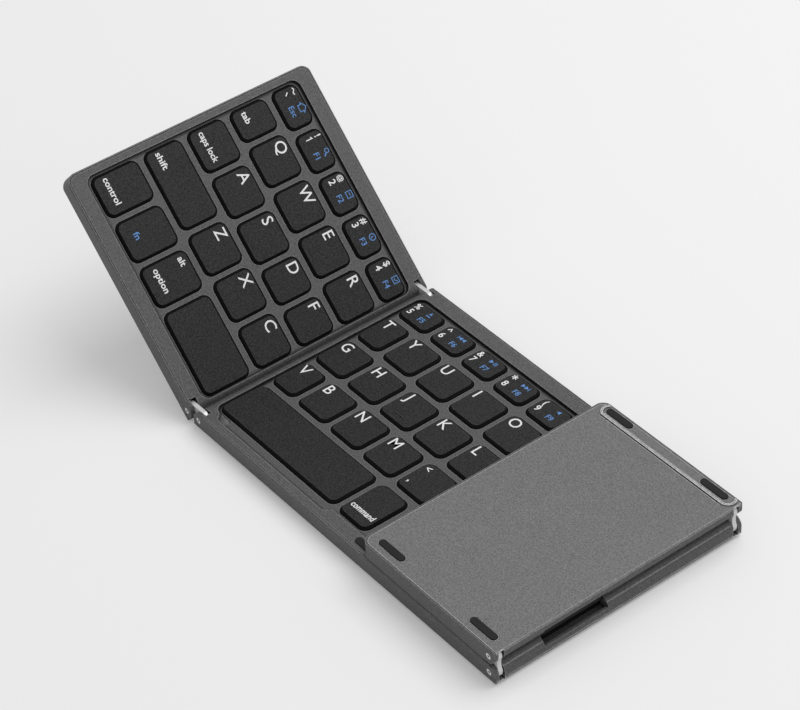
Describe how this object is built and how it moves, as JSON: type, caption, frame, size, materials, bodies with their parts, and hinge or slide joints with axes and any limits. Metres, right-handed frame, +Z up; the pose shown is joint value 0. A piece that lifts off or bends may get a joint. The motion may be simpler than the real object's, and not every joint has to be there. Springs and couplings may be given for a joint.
{
  "type": "folding keyboard",
  "caption": "Tri-fold portable keyboard: slim flat leaves joined by small metal link hinges, low key caps in a recessed field and a touchpad leaf folded face down over the keys.",
  "frame": {"origin": "centre of the middle leaf's flat underside", "axes": "+X along the key rows towards the touchpad leaf's hinge, +Y towards the number row, +Z up from the underside to the keys"},
  "size_m": [0.2186, 0.097, 0.0653],
  "materials": {
    "key_cap": "matte",
    "shell": "satin",
    "cover": "fine speckle, matte",
    "foot_rubber": "matte",
    "screw_steel": "plain",
    "pin_steel": "bright",
    "link_metal": "bright",
    "board": "solder mask",
    "dome_silicone": "translucent",
    "socket_metal": "plain",
    "lens": "clear",
    "cell_wrap": "wrapped",
    "pad_plate": "smooth",
    "cable_black": "matte"
  },
  "bodies": {
    "middle_leaf": {"mid_housing": "shell", "mid_key_frame": "shell", "mid_bottom_cover": "cover", "mid_circuit_board": "board", "mid_dome_sheet": "dome_silicone", "mid_feet": "foot_rubber", "mid_cover_screws": "screw_steel", "mid_hinge_pins": "pin_steel", "closing_bumper": "foot_rubber", "charging_socket": "socket_metal", "indicator_lenses": "lens"},
    "left_leaf": {"left_housing": "shell", "left_key_frame": "shell", "left_bottom_cover": "cover", "left_circuit_board": "board", "left_dome_sheet": "dome_silicone", "left_feet": "foot_rubber", "left_cover_screws": "screw_steel", "left_hinge_pins": "pin_steel"},
    "touchpad_leaf": {"right_housing": "shell", "touchpad_frame": "shell", "right_bottom_cover": "cover", "main_board": "board", "battery": "cell_wrap", "right_feet": "foot_rubber", "right_cover_screws": "screw_steel", "right_hinge_pins": "pin_steel", "touchpad": "pad_plate"},
    "left_link": {"left_links": "link_metal"},
    "right_link": {"right_links": "link_metal", "cable_guard": "cable_black"},
    "click_left": {"click_button_left": "key_cap"},
    "click_right": {"click_button_right": "key_cap"},
    "grave_key_body": {"grave_key": "key_cap"},
    "left_number_keys_body": {"left_number_keys": "key_cap"},
    "tab_key_body": {"tab_key": "key_cap"},
    "left_upper_letter_keys_body": {"left_upper_letter_keys": "key_cap"},
    "caps_key_body": {"caps_key": "key_cap"},
    "left_home_letter_keys_body": {"left_home_letter_keys": "key_cap"},
    "left_home_edge_keys_body": {"left_home_edge_keys": "key_cap"},
    "left_shift_key_body": {"left_shift_key": "key_cap"},
    "left_lower_letter_keys_body": {"left_lower_letter_keys": "key_cap"},
    "left_modifier_keys_body": {"left_modifier_keys": "key_cap"},
    "left_space_key_body": {"left_space_key": "key_cap"},
    "mid_number_keys_body": {"mid_number_keys": "key_cap"},
    "backspace_key_body": {"backspace_key": "key_cap"},
    "t_key_body": {"t_key": "key_cap"},
    "mid_upper_letter_keys_body": {"mid_upper_letter_keys": "key_cap"},
    "backslash_key_body": {"backslash_key": "key_cap"},
    "mid_home_letter_keys_body": {"mid_home_letter_keys": "key_cap"},
    "enter_key_body": {"enter_key": "key_cap"},
    "v_key_body": {"v_key": "key_cap"},
    "mid_lower_letter_keys_body": {"mid_lower_letter_keys": "key_cap"},
    "up_and_shift_keys_body": {"up_and_shift_keys": "key_cap"},
    "space_key_body": {"space_key": "key_cap"},
    "mid_modifier_keys_body": {"mid_modifier_keys": "key_cap"},
    "arrow_keys_body": {"arrow_keys": "key_cap"}
  },
  "joints": [
    {"name": "left_leaf_fold", "type": "hinge", "parent": "left_link", "child": "left_leaf", "pos_m": [-0.0799, 0, 0.003], "axis": [0, 1, 0], "range_deg": [-44.5, 45.5]},
    {"name": "left_link_fold", "type": "hinge", "parent": "middle_leaf", "child": "left_link", "pos_m": [-0.0734, 0, 0.003], "axis": [0, 1, 0], "range_deg": [0, 90]},
    {"name": "touchpad_leaf_fold", "type": "hinge", "parent": "right_link", "child": "touchpad_leaf", "pos_m": [0.0734, 0, 0.0095], "axis": [0, 1, 0], "range_deg": [0, 90]},
    {"name": "right_link_fold", "type": "hinge", "parent": "middle_leaf", "child": "right_link", "pos_m": [0.0734, 0, 0.003], "axis": [0, 1, 0], "range_deg": [0, 90]},
    {"name": "grave_press", "type": "slide", "parent": "left_leaf", "child": "grave_key_body", "axis": [-0.7009, 0, -0.7133], "range_m": [0, 0.0013], "stiffness_N_per_m": 400, "springref_m": -0.0008},
    {"name": "left_number_press", "type": "slide", "parent": "left_leaf", "child": "left_number_keys_body", "axis": [-0.7009, 0, -0.7133], "range_m": [0, 0.0013], "stiffness_N_per_m": 400, "springref_m": -0.0008},
    {"name": "tab_press", "type": "slide", "parent": "left_leaf", "child": "tab_key_body", "axis": [-0.7009, 0, -0.7133], "range_m": [0, 0.0013], "stiffness_N_per_m": 400, "springref_m": -0.0008},
    {"name": "left_upper_letter_press", "type": "slide", "parent": "left_leaf", "child": "left_upper_letter_keys_body", "axis": [-0.7009, 0, -0.7133], "range_m": [0, 0.0013], "stiffness_N_per_m": 400, "springref_m": -0.0008},
    {"name": "caps_press", "type": "slide", "parent": "left_leaf", "child": "caps_key_body", "axis": [-0.7009, 0, -0.7133], "range_m": [0, 0.0013], "stiffness_N_per_m": 400, "springref_m": -0.0008},
    {"name": "left_home_letter_press", "type": "slide", "parent": "left_leaf", "child": "left_home_letter_keys_body", "axis": [-0.7009, 0, -0.7133], "range_m": [0, 0.0013], "stiffness_N_per_m": 400, "springref_m": -0.0008},
    {"name": "left_home_edge_press", "type": "slide", "parent": "left_leaf", "child": "left_home_edge_keys_body", "axis": [-0.7009, 0, -0.7133], "range_m": [0, 0.0013], "stiffness_N_per_m": 400, "springref_m": -0.0008},
    {"name": "left_shift_press", "type": "slide", "parent": "left_leaf", "child": "left_shift_key_body", "axis": [-0.7009, 0, -0.7133], "range_m": [0, 0.0013], "stiffness_N_per_m": 400, "springref_m": -0.0008},
    {"name": "left_lower_letter_press", "type": "slide", "parent": "left_leaf", "child": "left_lower_letter_keys_body", "axis": [-0.7009, 0, -0.7133], "range_m": [0, 0.0013], "stiffness_N_per_m": 400, "springref_m": -0.0008},
    {"name": "left_modifier_press", "type": "slide", "parent": "left_leaf", "child": "left_modifier_keys_body", "axis": [-0.7009, 0, -0.7133], "range_m": [0, 0.0013], "stiffness_N_per_m": 400, "springref_m": -0.0008},
    {"name": "left_space_press", "type": "slide", "parent": "left_leaf", "child": "left_space_key_body", "axis": [-0.7009, 0, -0.7133], "range_m": [0, 0.0013], "stiffness_N_per_m": 400, "springref_m": -0.0008},
    {"name": "mid_number_press", "type": "slide", "parent": "middle_leaf", "child": "mid_number_keys_body", "axis": [0, 0, -1], "range_m": [0, 0.0013], "stiffness_N_per_m": 400, "springref_m": -0.0008},
    {"name": "backspace_press", "type": "slide", "parent": "middle_leaf", "child": "backspace_key_body", "axis": [0, 0, -1], "range_m": [0, 0.0013], "stiffness_N_per_m": 400, "springref_m": -0.0008},
    {"name": "t_press", "type": "slide", "parent": "middle_leaf", "child": "t_key_body", "axis": [0, 0, -1], "range_m": [0, 0.0013], "stiffness_N_per_m": 400, "springref_m": -0.0008},
    {"name": "mid_upper_letter_press", "type": "slide", "parent": "middle_leaf", "child": "mid_upper_letter_keys_body", "axis": [0, 0, -1], "range_m": [0, 0.0013], "stiffness_N_per_m": 400, "springref_m": -0.0008},
    {"name": "backslash_press", "type": "slide", "parent": "middle_leaf", "child": "backslash_key_body", "axis": [0, 0, -1], "range_m": [0, 0.0013], "stiffness_N_per_m": 400, "springref_m": -0.0008},
    {"name": "mid_home_letter_press", "type": "slide", "parent": "middle_leaf", "child": "mid_home_letter_keys_body", "axis": [0, 0, -1], "range_m": [0, 0.0013], "stiffness_N_per_m": 400, "springref_m": -0.0008},
    {"name": "enter_press", "type": "slide", "parent": "middle_leaf", "child": "enter_key_body", "axis": [0, 0, -1], "range_m": [0, 0.0013], "stiffness_N_per_m": 400, "springref_m": -0.0008},
    {"name": "v_press", "type": "slide", "parent": "middle_leaf", "child": "v_key_body", "axis": [0, 0, -1], "range_m": [0, 0.0013], "stiffness_N_per_m": 400, "springref_m": -0.0008},
    {"name": "mid_lower_letter_press", "type": "slide", "parent": "middle_leaf", "child": "mid_lower_letter_keys_body", "axis": [0, 0, -1], "range_m": [0, 0.0013], "stiffness_N_per_m": 400, "springref_m": -0.0008},
    {"name": "up_and_shift_press", "type": "slide", "parent": "middle_leaf", "child": "up_and_shift_keys_body", "axis": [0, 0, -1], "range_m": [0, 0.0013], "stiffness_N_per_m": 400, "springref_m": -0.0008},
    {"name": "space_press", "type": "slide", "parent": "middle_leaf", "child": "space_key_body", "axis": [0, 0, -1], "range_m": [0, 0.0013], "stiffness_N_per_m": 400, "springref_m": -0.0008},
    {"name": "mid_modifier_press", "type": "slide", "parent": "middle_leaf", "child": "mid_modifier_keys_body", "axis": [0, 0, -1], "range_m": [0, 0.0013], "stiffness_N_per_m": 400, "springref_m": -0.0008},
    {"name": "arrow_press", "type": "slide", "parent": "middle_leaf", "child": "arrow_keys_body", "axis": [0, 0, -1], "range_m": [0, 0.0013], "stiffness_N_per_m": 400, "springref_m": -0.0008},
    {"name": "click_left_press", "type": "slide", "parent": "touchpad_leaf", "child": "click_left", "axis": [0, 0, 1], "range_m": [0, 0.0004], "stiffness_N_per_m": 800, "springref_m": -0.0005},
    {"name": "click_right_press", "type": "slide", "parent": "touchpad_leaf", "child": "click_right", "axis": [0, 0, 1], "range_m": [0, 0.0004], "stiffness_N_per_m": 800, "springref_m": -0.0005}
  ]
}
